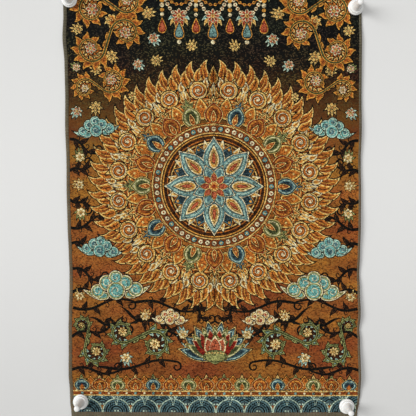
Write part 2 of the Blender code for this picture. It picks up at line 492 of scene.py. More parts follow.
groundLook = {
    "dither": 78.0,        # mm over which one ground is speckled into the next
    "wander": 34.0,
    "stops": (             # height on the panel, colour of the ground there
        (25, (11, 15, 14)),
        (-66, (15, 14, 11)),
        (-88, (60, 38, 18)),
        (-114, (96, 57, 24)),
        (-142, (142, 88, 36)),
        (-180, (155, 96, 40)),
        (-222, (149, 87, 37)),
        (-330, (144, 84, 36)),
        (-424, (136, 78, 35)),
    ),
}


def groundMaterial(look):
    material, tree, shader = newMaterial("brocadeGround")
    nodes = weaveNodes(tree)
    height = spot = maths(tree, "DIVIDE", nodes["up"], mm)
    for value, width in ((nodes["chance"], look["dither"]), (nodes["slub"], look["wander"])):
        spot = maths(tree, "ADD", spot, maths(tree, "MULTIPLY_ADD", value, width, -width / 2))
    share = maths(tree, "DIVIDE", maths(tree, "SUBTRACT", spot, panelFoot), panel["height"])
    stops = sorted((min(max((z - panelFoot) / panel["height"], 0.0), 1.0), paint(*colour))
                   for z, colour in look["stops"])
    colour = addRamp(tree, share, stops)
    # stray threads, gold ones and dark ones, and the ground turning from golden to red
    level = addRamp(tree, nodes["chance"], (
        (0.0, (0.38, 0.36, 0.36, 1)), (0.24, (0.68, 0.65, 0.64, 1)), (0.38, (1, 1, 1, 1)),
        (0.60, (1.32, 1.30, 1.14, 1)), (0.76, (1.6, 1.6, 1.4, 1))), "CONSTANT")
    colour = mixColour(tree, 1.0, colour, level, "MULTIPLY")
    fleck = maths(tree, "MINIMUM", maths(tree, "MULTIPLY_ADD", height, -0.005, 0.17), 0.5)
    fleck = maths(tree, "MULTIPLY", maths(tree, "GREATER_THAN", nodes["chance"], 0.82), fleck)
    dust = maths(tree, "MINIMUM", maths(tree, "MULTIPLY_ADD", height, -0.0040, 0.10), 0.36)
    dust = maths(tree, "MULTIPLY", maths(tree, "GREATER_THAN", nodes["small"], 0.80), dust)
    high = maths(tree, "MULTIPLY_ADD", height, 0.014, 1.0)
    speck = mixColour(tree, high, paint(120, 90, 50), paint(92, 96, 78))
    colour = mixColour(tree, maths(tree, "MAXIMUM", dust, fleck), colour, speck)
    broad = noise(tree, stretched(tree, nodes["spot"], 13.0, 1.0, 36.0), 1.0, 2.0)
    golden = addRamp(tree, broad, ((0.36, (0.84, 0.64, 0.84, 1)), (0.50, (1, 1, 1, 1)),
                                   (0.64, (1.20, 1.42, 1.14, 1))))
    colour = mixColour(tree, 1.0, colour, golden, "MULTIPLY")
    shade = noise(tree, nodes["spot"], 40.0, 1.0, 0.4)
    shade = maths(tree, "MULTIPLY_ADD", shade, 0.8, 0.61)
    finishWeave(tree, shader, nodes, mixColour(tree, 1.0, colour, shade, "MULTIPLY"))
    return material


def reverseMaterial():   # the back: long loose wefts in streaks of every colour used
    material, tree, shader = newMaterial("brocadeReverse")
    nodes = weaveNodes(tree)
    streak = noise(tree, stretched(tree, nodes["spot"], 22.0, 1.0, 900.0), 1.0, 2.0, 0.7)
    patch = noise(tree, stretched(tree, nodes["spot"], 12.0, 1.0, 60.0), 1.0, 4.0, 0.7)
    warm = mixColour(tree, maths(tree, "MULTIPLY_ADD", streak, 3.0, -1.0),
                     paint(88, 58, 32), paint(156, 112, 62))
    cool = mixColour(tree, maths(tree, "MULTIPLY_ADD", streak, 4.0, -1.6),
                     paint(46, 48, 44), paint(114, 116, 98))
    colour = mixColour(tree, maths(tree, "MULTIPLY_ADD", patch, 5.0, -2.1), warm, cool)
    dark = maths(tree, "LESS_THAN", nodes["chance"], 0.36)
    colour = mixColour(tree, maths(tree, "MULTIPLY", dark, 0.6), colour, paint(36, 28, 22))
    finishWeave(tree, shader, nodes, colour)
    return material


def addCloth(look):
    deselectAll()
    bpy.ops.mesh.primitive_grid_add(x_subdivisions=round(look["width"] / look["cell"]),
                                    y_subdivisions=round(look["height"] / look["cell"]),
                                    size=1)
    cloth = bpy.context.object
    cloth.name = "brocadeCloth"
    flat = pointsOf(cloth.data)
    x = flat[:, 0] * look["width"]
    z = panelTop - (0.5 - flat[:, 1]) * look["height"]
    movePoints(cloth.data, hang(x, z))
    cloth.data.materials.append(groundMaterial(groundLook))
    cloth.data.materials.append(reverseMaterial())
    pickOnly(cloth)
    body = cloth.modifiers.new("body", "SOLIDIFY")
    body.thickness = look["thick"] * mm
    body.offset = -1
    body.material_offset = 1
    body.material_offset_rim = 0
    bpy.ops.object.modifier_apply(modifier="body")
    bpy.ops.object.shade_smooth_by_angle(angle=radians(50))
    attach(cloth, "root")
    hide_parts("cloth")
    return cloth


cloth = addCloth(panel)
print("cloth hung,", len(cloth.data.polygons), "faces")


# motifs are drawn flat as raised wefts, mirrored where they come in pairs, and hung at the end

rootDepth = -0.25      # every raised weft is rooted this deep in the cloth


def newMotif(name, mirrored=False):
    return {"name": name, "mirrored": mirrored, "x": [], "z": [], "proud": [],
            "faces": [], "tones": [], "used": []}


def addPoint(motif, x, z, proud):
    motif["x"].append(x)
    motif["z"].append(z)
    motif["proud"].append(proud)
    return len(motif["x"]) - 1


def addFace(motif, corners, tone):
    if tone not in motif["used"]:
        motif["used"].append(tone)
    motif["faces"].append(tuple(corners))
    motif["tones"].append(motif["used"].index(tone))


def mirrorPath(path):
    return [(-x, z) for x, z in reversed(path)]


def mirrorRing(ring):   # the first point stays the first
    return [(-x, z) for x, z in ring[:1] + ring[:0:-1]]


def withMirror(motif, lines, flip=mirrorPath):   # and their mirror image, if the motif has one
    return [lines, [flip(line) for line in lines]] if motif["mirrored"] else [lines]


def place(path, at, turn=0.0, size=1.0):
    c, s = cos(turn) * size, sin(turn) * size
    return [(at[0] + x * c - z * s, at[1] + x * s + z * c) for x, z in path]


def polar(centre, radius, angle):
    return (centre[0] + radius * cos(angle), centre[1] + radius * sin(angle))


def evenPath(path, step, closed=False):
    points = list(path) + ([path[0]] if closed else [])
    lengths = [0.0]
    for (x1, z1), (x2, z2) in zip(points, points[1:]):
        lengths.append(lengths[-1] + hypot(x2 - x1, z2 - z1))
    count = max(2, round(lengths[-1] / step))
    marks = np.linspace(0, lengths[-1], count + 1)
    x = np.interp(marks, lengths, [p[0] for p in points])
    z = np.interp(marks, lengths, [p[1] for p in points])
    even = list(zip(x.tolist(), z.tolist()))
    return even[:-1] if closed else even


def sidesOf(path, width, tipWidth=None, closed=False):   # the right and left side of a line
    tipWidth = width if tipWidth is None else tipWidth
    count = len(path)
    right = []
    left = []
    for i, (x, z) in enumerate(path):
        before = path[i - 1] if i or closed else path[0]
        after = path[(i + 1) % count] if i < count - 1 or closed else path[-1]
        turnX, turnZ = after[0] - before[0], after[1] - before[1]
        length = hypot(turnX, turnZ) or 1.0
        half = (width + (tipWidth - width) * i / (count - 1)) / 2
        sideX, sideZ = -turnZ / length * half, turnX / length * half
        right.append((x - sideX, z - sideZ))
        left.append((x + sideX, z + sideZ))
    return right, left


def skin(motif, rings, tone, closed=False):   # faces from ring to ring of points, ends shut
    for near, far in zip(rings, rings[1:] + (rings[:1] if closed else [])):
        for i in range(len(near)):
            j = (i + 1) % len(near)
            addFace(motif, (near[i], far[i], far[j], near[j]), tone)
    if not closed:
        addFace(motif, rings[0], tone)
        addFace(motif, rings[-1][::-1], tone)


def addThread(motif, path, width, tone, proud, rise=0.14, closed=False, step=1.5):
    for (line,) in withMirror(motif, [evenPath(path, step, closed)]):
        right, left = sidesOf(line, width, closed=closed)
        skin(motif, [(addPoint(motif, *a, proud), addPoint(motif, *b, proud + rise),
                      addPoint(motif, *c, proud)) for a, b, c in zip(right, line, left)],
             tone, closed)


def addBand(motif, right, left, tone, proud):   # a flat strip between two lines
    for sides in withMirror(motif, [right, left]):
        skin(motif, [(addPoint(motif, *a, proud), addPoint(motif, *b, proud),
                      addPoint(motif, *b, rootDepth), addPoint(motif, *a, rootDepth))
                     for a, b in zip(*sides)], tone)


def addStem(motif, path, width, tone, proud, tipWidth):   # a flat strip that narrows
    addBand(motif, *sidesOf(evenPath(path, 2.0), width, tipWidth), tone, proud)


def insidePoints(outline, spacing):   # a staggered net of points well inside an outline
    start = np.array(outline)
    low, high = start.min(0), start.max(0)
    rowStep = spacing * 0.87
    net = []
    for r in range(int((high[1] - low[1]) / rowStep) + 1):
        shift = 0.5 * (r % 2) + 0.3
        for c in range(int((high[0] - low[0]) / spacing) + 1):
            net.append((low[0] + spacing * (c + shift), low[1] + rowStep * (r + 0.5)))
    net = np.array(net)
    run = np.roll(start, -1, axis=0) - start
    offset = net[:, None, :] - start[None]
    share = (offset * run[None]).sum(2) / np.maximum((run ** 2).sum(1), 1e-9)[None]
    apart = offset - np.clip(share, 0, 1)[..., None] * run[None]
    away = np.hypot(apart[..., 0], apart[..., 1]).min(1)
    above = start[None, :, 1] > net[:, None, 1]
    crosses = above != np.roll(above, -1, axis=1)
    rise = np.where(run[:, 1] == 0, 1e-9, run[:, 1])[None]
    reach = run[None, :, 0] * offset[..., 1] / rise + start[None, :, 0]
    inside = (crosses & (net[:, None, 0] < reach)).sum(1) % 2 == 1
    return [tuple(p) for p in net[inside & (away > 0.45 * spacing)].tolist()]


def addFill(motif, outline, tone, proud, spacing):   # a wide area, fine enough to drape
    for (ring,) in withMirror(motif, [outline]):
        places = [Vector(p) for p in list(ring) + insidePoints(ring, spacing)]
        net = delaunay_2d_cdt(places, [], [list(range(len(ring)))], 1, 1e-4)
        points, faces = net[0], net[2]
        sides = {(face[i], face[(i + 1) % 3]) for face in faces for i in range(3)}
        top = [addPoint(motif, p.x, p.y, proud) for p in points]
        root = [addPoint(motif, p.x, p.y, rootDepth) for p in points]
        for a, b, c in faces:
            addFace(motif, (top[a], top[b], top[c]), tone)
            addFace(motif, (root[c], root[b], root[a]), tone)
        for a, b in sides:
            if (b, a) not in sides:
                addFace(motif, (top[b], top[a], root[a], root[b]), tone)


def capFaces(ring):   # across a ring whose halves mirror each other
    count = len(ring)
    faces = [(ring[0], ring[1], ring[-1])]
    for i in range(1, count // 2 - 1):
        faces.append((ring[i], ring[i + 1], ring[count - i - 1], ring[count - i]))
    middle = count // 2
    faces.append(tuple(ring[middle - 1:count - middle + 2]))
    return faces


def addNest(motif, rings, tones, proud, rise=0.03):   # rings within rings, each its own tone
    last = len(tones) - 1
    tones = [tones[min(k, last)] for k in range(len(rings))]
    for nest in withMirror(motif, rings, mirrorRing):
        levels = [[addPoint(motif, *p, proud + rise * min(k, last)) for p in ring]
                  for k, ring in enumerate(nest)]
        root = [addPoint(motif, *p, rootDepth) for p in nest[0]]
        count = len(root)
        for i in range(count):
            j = (i + 1) % count
            addFace(motif, (levels[0][j], levels[0][i], root[i], root[j]), tones[0])
            for outer, inner, tone in zip(levels, levels[1:], tones):
                addFace(motif, (outer[i], outer[j], inner[j], inner[i]), tone)
        for face in capFaces(levels[-1]):
            addFace(motif, face, tones[-1])
        for face in capFaces(root):
            addFace(motif, tuple(reversed(face)), tones[0])


def addBead(motif, centre, radius, tone, proud, rise=0.22, sides=9):
    rings = [circlePath(centre, radius * share, sides) for share in (1.0, 0.6)]
    addNest(motif, rings, (tone, tone), proud, rise)


def finishMotif(motif):
    x = np.array(motif["x"])   # the right half reaches up to its narrower band
    reach = (halfWide - panel["rightBand"]) / (halfWide - panel["sideBand"])
    places = hang(np.where(x > 0, x * reach, x), motif["z"], np.array(motif["proud"]))
    piece = newPiece(motif["name"], places, motif["faces"],
                     [threads[tone] for tone in motif["used"]])
    mesh = piece.data
    mesh.polygons.foreach_set("material_index", motif["tones"])
    mesh.shade_smooth()
    mesh.set_sharp_from_angle(angle=radians(60))
    mesh.update()
    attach(piece, "root")
    print(motif["name"], "woven in,", sum(len(face) - 2 for face in motif["faces"]), "triangles")
    return piece


# the shapes that every motif is made of, each drawn from its foot along +x

profiles = {   # share of the length, share of the half width
    "petal": ((0, 0.44), (0.10, 0.64), (0.26, 0.90), (0.42, 1.0), (0.57, 0.93), (0.71, 0.68),
              (0.83, 0.36), (0.93, 0.14), (1, 0)),
    "flame": ((0, 0.36), (0.10, 0.66), (0.24, 0.95), (0.36, 1.0), (0.52, 0.78), (0.70, 0.46),
              (0.87, 0.19), (1, 0)),
    "leaf": ((0, 0), (0.05, 0.40), (0.16, 0.80), (0.32, 1.0), (0.50, 0.93), (0.70, 0.66),
             (0.86, 0.32), (1, 0)),
    "tongue": ((0, 0.5), (0.12, 0.86), (0.26, 1.0), (0.45, 0.84), (0.65, 0.52), (0.84, 0.22),
               (1, 0)),
    "drop": ((0, 0), (0.10, 0.22), (0.30, 0.52), (0.55, 0.88), (0.74, 1.0), (0.88, 0.82),
             (0.96, 0.5), (1, 0)),
}

finishes = {   # tones from the edge inwards, each with the inset where it starts
    "goldLeaf": (("ink", 0), ("straw", 0.9), ("gold", 2.0), ("amber", 3.1)),
    "amberLeaf": (("ink", 0), ("straw", 1.0), ("amber", 2.0), ("russet", 4.0)),
    "rustLeaf": (("ink", 0), ("gold", 0.8), ("amber", 1.9), ("russet", 3.6)),
    "paleLeaf": (("ink", 0), ("cream", 0.8), ("straw", 2.0), ("gold", 2.8)),
    "tealLeaf": (("ink", 0), ("mist", 0.6), ("lagoon", 1.4), ("slate", 2.3)),
    "mossLeaf": (("ink", 0), ("sage", 0.7), ("moss", 1.5), ("sage", 2.6)),
    "greenLeaf": (("ink", 0), ("sage", 0.8), ("moss", 1.8), ("lagoon", 2.8)),
    "nightLeaf": (("ink", 0), ("bark", 1.3), ("ink", 1.9)),
    "redLeaf": (("ink", 0), ("straw", 0.6), ("garnet", 1.4), ("coral", 2.4)),
    "bluePetal": (("ink", 0), ("straw", 0.7), ("midnight", 1.5), ("slate", 2.7),
                  ("mist", 3.9), ("slate", 4.7), ("midnight", 6.0)),
    "greenPetal": (("ink", 0), ("straw", 0.7), ("moss", 1.5), ("sage", 2.7),
                   ("cream", 3.9), ("sage", 4.7), ("moss", 6.0)),
    "backPetal": (("ink", 0), ("gold", 0.7), ("russet", 1.5), ("amber", 2.6)),
    "emberHeart": (("ink", 0), ("straw", 0.6), ("garnet", 1.4), ("amber", 2.2)),
    "lagoonPetal": (("ink", 0), ("cream", 0.7), ("slate", 1.8), ("lagoon", 3.0),
                    ("mist", 4.7), ("lagoon", 5.5), ("slate", 7.0)),
    "nightPetal": (("ink", 0), ("gold", 0.6), ("midnight", 1.3), ("slate", 2.6),
                   ("midnight", 3.6)),
    "creamPetal": (("bark", 0), ("straw", 0.5), ("cream", 1.2), ("coral", 2.8)),
    "rosePetal": (("bark", 0), ("cream", 0.5), ("coral", 1.2), ("garnet", 2.2)),
    "cloud": (("ink", 0), ("mist", 0.7), ("jade", 1.6), ("slate", 3.4)),
    "paleCloud": (("bark", 0), ("cream", 0.7), ("straw", 1.7), ("coral", 3.2)),
    "greenCloud": (("ink", 0), ("cream", 0.7), ("sage", 1.6), ("jade", 3.0)),
    "jewel": (("gold", 0), ("garnet", 0.9), ("coral", 1.9)),
    "blueJewel": (("gold", 0), ("midnight", 0.9), ("lagoon", 1.8)),
    "curl": (("ink", 0), ("straw", 0.9), ("gold", 2.2), ("amber", 3.2)),
    "emberPetal": (("ink", 0), ("straw", 0.7), ("garnet", 1.5), ("russet", 2.7),
                   ("gold", 3.9), ("amber", 4.7), ("russet", 6.0)),
    "goldHeart": (("bark", 0), ("straw", 0.5), ("amber", 1.2)),
    "redHeart": (("ink", 0), ("straw", 0.5), ("garnet", 1.2)),
}


def circlePath(centre, radius, count):
    return [polar(centre, radius, 2 * pi * i / count) for i in range(count)]


def arcPath(centre, radius, start, end, count):
    return [polar(centre, radius, start + (end - start) * i / count) for i in range(count + 1)]


bendPower = 1.4                # a leaf's spine bends more toward its tip
vein = {   # the line along the middle of a leaf
    "steps": 40,
    "from": 0.14,              # shares of the spine
    "to": 0.70,
    "wide": 0.9,
    "rise": 0.08,
}


def veinPath(length, bend):
    count = vein["steps"]
    path = [(0.0, 0.0)]
    for i in range(1, count + 1):
        path.append(polar(path[-1], length / count, bend * (i / count) ** bendPower))
    return evenPath(path[round(vein["from"] * count):round(vein["to"] * count) + 1],
                    length / 12)


def shapeRings(profile, length, width, bend, insets, steps):
    t = np.linspace(0, 1, 61)
    half = np.interp(t, *zip(*profiles[profile])) * width / 2
    heading = bend * t ** bendPower
    x = np.concatenate([[0], np.cumsum(np.cos(heading[1:]))]) * length / 60
    z = np.concatenate([[0], np.cumsum(np.sin(heading[1:]))]) * length / 60
    rings = []
    for inset in insets:
        wide = t[half > inset + 0.12]
        if inset and (len(wide) < 8 or (wide[-1] - wide[0]) * length < 1.2):
            break
        low = max(wide[0] if half[0] < inset + 0.12 else 0.0, inset / length)
        high = min(wide[-1], 1 - 1.5 * inset / length) if inset else 1.0
        spots = low + (high - low) * (1 - np.cos(np.linspace(0, pi, steps + 1))) / 2
        reach = np.maximum(np.interp(spots, t, half) - inset, 0)
        reach[0] = reach[-1] = 0
        sx, sz, a = (np.interp(spots, t, line) for line in (x, z, heading))
        right = np.stack([sx + reach * np.sin(a), sz - reach * np.cos(a)], 1).tolist()
        left = np.stack([sx - reach * np.sin(a), sz + reach * np.cos(a)], 1).tolist()
        rings.append([tuple(p) for p in right + left[-2:0:-1]])
    return rings


def addShape(motif, profile, at, turn, length, width, bend, finish, proud, steps=7,
             veinTone=None, scale=1.0):
    tones, insets = zip(*finishes[finish])
    rings = shapeRings(profile, length, width, bend, [i * scale for i in insets], steps)
    addNest(motif, [place(ring, at, turn) for ring in rings], tones, proud)
    if veinTone:
        addThread(motif, place(veinPath(length, bend), at, turn), vein["wide"], veinTone,
                  proud + 0.03 * len(rings), rise=vein["rise"], step=2.2)


def addFan(motif, profile, at, turn, leaves, width, curl, proud, steps, scale=1.0, lift=0.0):
    # leaves: spread from the middle, length, finish. The middle one is lifted
    for spread, length, finish in leaves:
        addShape(motif, profile, at, turn + spread, length, width, spread * curl, finish,
                 proud + lift * (spread == 0), steps, scale=scale)


def addRing(motif, centre, count, shift, foot, profile, length, width, finish, proud, steps,
            scale=1.0, stagger=0.0):   # one shape all the way round
    for i in range(count):
        angle = 2 * pi * (i + shift) / count
        addShape(motif, profile, polar(centre, foot, angle), angle, length, width, 0.0, finish,
                 proud + stagger * (i % 2), steps, scale=scale)


def addBeadRing(motif, centre, count, shift, reach, *bead):
    for i in range(count):
        addBead(motif, polar(centre, reach, 2 * pi * (i + shift) / count), *bead)


def addDisc(motif, centre, radius, finish, proud, sides, scale=1.0):
    tones, insets = zip(*finishes[finish])
    radii = [radius - inset * scale for inset in insets if radius - inset * scale > 0.3]
    tones = tones[:len(radii)]
    while radii[-1] > 3.2:   # more rings of the last tone, so that a wide disc lies on the folds
        radii.append(radii[-1] - 2.4)
    addNest(motif, [circlePath(centre, reach, sides) for reach in radii], tones, proud)


def addBlossom(motif, centre, radius, count, petal, heart, proud, turn=0.0, scale=1.0):
    for i in range(count):
        angle = turn + 2 * pi * i / count
        addShape(motif, "petal", polar(centre, radius * 0.18, angle), angle, radius * 0.82,
                 radius * 4.3 / count, 0.0, petal, proud + 0.02 * (i % 2), 6, scale=scale)
    addDisc(motif, centre, radius * 0.32, heart, proud + 0.10, 12, scale)
    if radius > 5.5:
        for i in range(5):
            addBead(motif, polar(centre, radius * 0.17, turn + 2 * pi * i / 5),
                    radius * 0.08, "straw", proud + 0.15, 0.1, 6)


sprigLeaves = (   # spread, share of the sprig's size, bend
    (2.5, 0.72, -0.8), (-2.5, 0.72, 0.8), (1.55, 0.86, -0.8), (-1.55, 0.86, 0.8),
    (0.7, 1.0, -0.8), (-0.7, 1.0, 0.8), (0.0, 1.12, 0.0))


def addSprig(motif, at, turn, size, leaf, petal, heart, proud):   # a blossom in its leaves
    for spread, share, bend in sprigLeaves:
        addShape(motif, "tongue", at, turn + spread, size * share, size * 0.40, bend, leaf,
                 proud + 0.02 * (spread == 0.0), 6, scale=0.85)
    addBlossom(motif, at, size * 0.52, 6, petal, heart, proud + 0.08, turn, 0.8)


def spiralPath(radius, turns, start, spin, tight=0.2, step=1.7):   # wound from the outside in
    count = max(10, int(radius * turns * 4.4 / step))
    path = []
    for i in range(count + 1):
        t = i / count
        reach = radius * (1 - (1 - tight) * t ** 1.25)
        path.append(polar((0, 0), reach, start + spin * 2 * pi * turns * t))
    return path


dresses = {   # how a scroll is dressed
    "gold": {"dark": "ink", "light": "gold", "stem": "moss", "outer": "rustLeaf",
             "inner": "amberLeaf", "petal": "rosePetal", "heart": "goldHeart", "petals": 6,
             "fill": "amber"},
    "green": {"dark": "ink", "light": "sage", "stem": "moss", "outer": "greenLeaf",
              "inner": "tealLeaf", "petal": "creamPetal", "heart": "redHeart", "petals": 8,
              "fill": "bark"},
}


stalkEdges = (   # part, added to the width at the foot and at the tip, least width, height
    ("dark", 2.6, 1.6, 0.0, 0.0), ("light", 1.3, 0.8, 0.0, 0.03), ("stem", -0.3, -0.2, 0.5, 0.06))


def addStalk(motif, path, width, dress, proud, tip=0.45):   # a stem with dark and light edges
    for part, atFoot, atTip, least, height in stalkEdges:
        addStem(motif, path, max(width + atFoot, least + 0.2), dresses[dress][part],
                proud + height, max(width * tip + atTip, least))


def addScroll(motif, centre, radius, turns, start, spin, dress, proud, leafGap, leafLong):
    look = dresses[dress]
    path = place(spiralPath(radius, turns, start, spin), centre)
    addFill(motif, path[:int(len(path) / turns)], look["fill"], proud - 0.05, radius / 3)
    marks = evenPath(path, max(4.6, radius * leafGap))
    for i in range(len(marks) - 1):
        x, z = marks[i]
        ahead = atan2(marks[i + 1][1] - z, marks[i + 1][0] - x)
        reach = hypot(x - centre[0], z - centre[1]) / radius
        if reach < 0.5:
            continue
        size = radius * leafLong * (0.30 + 0.70 * reach)
        if reach > 0.6:
            addShape(motif, "flame", (x, z), ahead + spin * 0.55, size * 0.55, size * 0.36,
                     spin * 0.9, look["inner"], proud + 0.01, 6, scale=0.85)
        addShape(motif, "flame", (x, z), ahead - spin * 0.35, size, size * 0.58, -spin * 1.5,
                 look["outer"], proud + 0.04 + 0.02 * (i % 2), 9,
                 scale=min(1.0, 0.6 + size / 40))
    addStalk(motif, path, max(0.9, radius * 0.15), dress, proud + 0.12)
    addBlossom(motif, centre, radius * 0.48, look["petals"], look["petal"], look["heart"],
               proud + 0.22, start)


def addDoubleScroll(motif, first, second, spin, dress, proud, turns=1.25, leafGap=0.62,
                    leafLong=1.0):
    # two scrolls on one stem, which crosses between them as a letter S does
    (x1, z1, r1), (x2, z2, r2) = first, second
    apart = hypot(x2 - x1, z2 - z1)
    toward = atan2(z2 - z1, x2 - x1)
    lean = acos(min((r1 + r2) / apart, 1.0)) * spin
    leave = polar((x1, z1), r1, toward + lean)
    arrive = polar((x2, z2), r2, toward + pi + lean)
    if apart > r1 + r2 + 0.5:
        look = dresses[dress]
        heading = atan2(arrive[1] - leave[1], arrive[0] - leave[0])
        middle = ((leave[0] + arrive[0]) / 2, (leave[1] + arrive[1]) / 2)
        for side in (-1, 1):
            addShape(motif, "tongue", middle, heading + (pi if side * spin > 0 else 0)
                     + side * 0.7, r1 * 0.8, r1 * 0.36, -side * 1.2, look["outer"],
                     proud + 0.05, 7)
        addStalk(motif, [leave, arrive], max(0.9, min(r1, r2) * 0.15), dress, proud + 0.12, 1.0)
    addScroll(motif, (x1, z1), r1, turns, toward + lean, spin, dress, proud, leafGap, leafLong)
    addScroll(motif, (x2, z2), r2, turns, toward + pi + lean, spin, dress, proud, leafGap,
              leafLong)


# the great rosette in the middle of the panel

rosette = {
    "centre": (0.0, -183.0),
    "discs": (   # radius, sides, tone, height
        (64.8, 96, "ink", 0.36), (62.4, 96, "russet", 0.46), (54.0, 90, "bark", 0.50)),
    "ribs": [26.5 + 3 * i for i in range(8)],
    "rings": ((54.0, "straw"), (62.4, "straw"), (64.2, "amber"), (51.6, "gold")),
    "flower": (   # count, shift, foot, shape, length, width, finish, height, steps, scale
        (16, 0.5, 28, "tongue", 23, 11, "paleLeaf", 0.52, 7),
        (8, 0.5, 14, "petal", 33, 20, "nightPetal", 0.58, 9),
        (8, 0, 8, "petal", 44, 25, "lagoonPetal", 0.66, 10, 0.9, 0.01),
        (8, 0, 17, "leaf", 26, 12.5, "paleLeaf", 0.86, 9, 0.9),
        (8, 0, 21, "leaf", 17, 6.4, "redLeaf", 0.98, 7, 0.8),
        (8, 0.5, 5, "petal", 19, 13, "lagoonPetal", 1.04, 8, 0.7),
        (8, 0, 3.4, "petal", 12, 8, "redLeaf", 1.18, 7, 0.8),
    ),
    "pearls": 58.2,
    "pearlCount": 52,
    "lotusFoot": 63.5,
    "lotusLong": 27.5,
    "lotusCount": 20,
    "lotusTurns": (   # finish of the petal and of the lobes behind it
        ("bluePetal", "nightPetal"), ("emberPetal", "amberLeaf"),
        ("greenPetal", "mossLeaf"), ("emberPetal", "amberLeaf")),
    "curlLine": 98.0,
    "curlRadius": 9.8,
    "curls": 10,             # on the half that is drawn
    "curlRibs": ((92.5, "straw"), (90.0, "bark"), (87.5, "straw"), (85.0, "straw")),
    "curlFan": (
        (1.05, 10, "amberLeaf"), (-1.05, 10, "amberLeaf"), (0.45, 15, "goldLeaf"),
        (-0.45, 15, "goldLeaf"), (0.0, 21, "paleLeaf")),
    "curlWings": (
        (0.9, 14, "goldLeaf"), (-0.9, 14, "goldLeaf"), (0.32, 17, "goldLeaf"),
        (-0.32, 17, "goldLeaf")),
    "rim": 106.0,
    "rays": 26,              # on the half that is drawn
    "rayRows": (   # shift, foot inside the rim, length, width, finish, vein
        (0.5, 2, 30, 13.5, "amberLeaf", "gold"),
        (0.0, 4, 23, 12.0, "goldLeaf", "bark"),
        (0.5, 7, 14, 8.5, "paleLeaf", "russet"),
    ),
}


def weaveRosetteRays(look):   # curved golden leaves round the rim, in three rows
    motif = newMotif("rosetteRays", mirrored=True)
    count = look["rays"]
    for row, (shift, inside, length, width, finish, line) in enumerate(look["rayRows"]):
        for i in range(count + (shift == 0.0)):
            angle = -pi / 2 + pi * (i + shift) / count
            lean = 0.0 if abs(abs(angle) - pi / 2) < 0.01 else 0.50
            addShape(motif, "flame", polar(look["centre"], look["rim"] - inside, angle),
                     angle - lean, length, width, lean * 3.3, finish,
                     0.07 + 0.05 * row + 0.01 * (i % 2), 8, line)
    return finishMotif(motif)


def addCurl(motif, centre, radius, start, spin, proud):   # a disc with a line wound into it
    addDisc(motif, centre, radius, "curl", proud, 24)
    for shift, width, tone in ((0.0, 1.3, "bark"), (0.62, 1.1, "cream")):
        path = place(spiralPath(radius * 0.74, 1.75, start + shift, spin, 0.14, 1.4), centre)
        addThread(motif, path, width, tone, proud + 0.09, rise=0.10, step=1.6)
    addBead(motif, centre, radius * 0.17, "cream", proud + 0.10, 0.12, 8)


def weaveRosetteCurls(look):
    motif = newMotif("rosetteCurls", mirrored=True)
    centre = look["centre"]
    steps = np.linspace(look["rim"], look["lotusFoot"] + 8, 7)
    for radii in zip(steps, steps[1:]):   # narrow bands, which lie on the folds
        outer, hollow = (arcPath(centre, radius, -pi / 2, pi / 2, 60) for radius in radii)
        addBand(motif, outer, hollow, "amber", 0.12)
    for radius, tone in look["curlRibs"]:   # fine ribs show between the petals
        addThread(motif, arcPath(centre, radius, -pi / 2, pi / 2, 90), 1.0, tone, 0.12,
                  rise=0.08, step=3.0)
    for i in range(look["curls"] + 1):
        angle = -pi / 2 + pi * i / look["curls"]
        foot = polar(centre, look["curlLine"] - 9, angle)
        addFan(motif, "flame", foot, angle, look["curlFan"], 6.6, -1.2, 0.15, 8, lift=0.02)
        addDisc(motif, foot, 3.2, "redHeart", 0.25, 12)
    for i in range(look["curls"]):
        angle = -pi / 2 + pi * (i + 0.5) / look["curls"]
        at = polar(centre, look["curlLine"], angle)
        addFan(motif, "flame", at, angle, look["curlWings"], 7.6, 0.7, 0.20, 8)
        addCurl(motif, at, look["curlRadius"], angle + pi / 2, 1 if i % 2 else -1, 0.28)
    return finishMotif(motif)


def weaveRosettePetals(look):
    motif = newMotif("rosettePetals")
    centre, count, foot, long = (look[key] for key in (
        "centre", "lotusCount", "lotusFoot", "lotusLong"))
    wide = 2 * pi * foot / count
    addRing(motif, centre, count, 0.5, foot + 4, "petal", long * 0.92, wide * 0.72,
            "goldLeaf", 0.34, 8)
    addBeadRing(motif, centre, count, 0.5, foot + long * 0.66, 1.3, "straw", 0.46, 0.1, 8)
    for i in range(count):
        angle = 2 * pi * i / count
        finish, lobe = look["lotusTurns"][i % 4]
        addFan(motif, "flame", polar(centre, foot + long * 0.62, angle), angle, (
            (0.62, long * 0.36, lobe), (-0.62, long * 0.36, lobe), (0.0, long * 0.50, lobe)),
            wide * 0.30, 0.8, 0.40, 6, 0.8, 0.02)
        addShape(motif, "petal", polar(centre, foot - 1, angle), angle, long * 0.88,
                 wide * 1.04, 0.0, finish, 0.46, 10, scale=0.84)
        addFan(motif, "flame", polar(centre, foot + 1, angle), angle, (
            (0.7, long * 0.26, "goldLeaf"), (-0.7, long * 0.26, "goldLeaf")),
            wide * 0.16, -1.6, 0.66, 5, 0.7)
    addRing(motif, centre, count, 0, foot + 0.5, "leaf", long * 0.52, wide * 0.34,
            "emberHeart", 0.68, 8, 0.9)
    addBeadRing(motif, centre, count, 0, foot + long * 0.24, 0.9, "straw", 0.80, 0.1, 7)
    return finishMotif(motif)


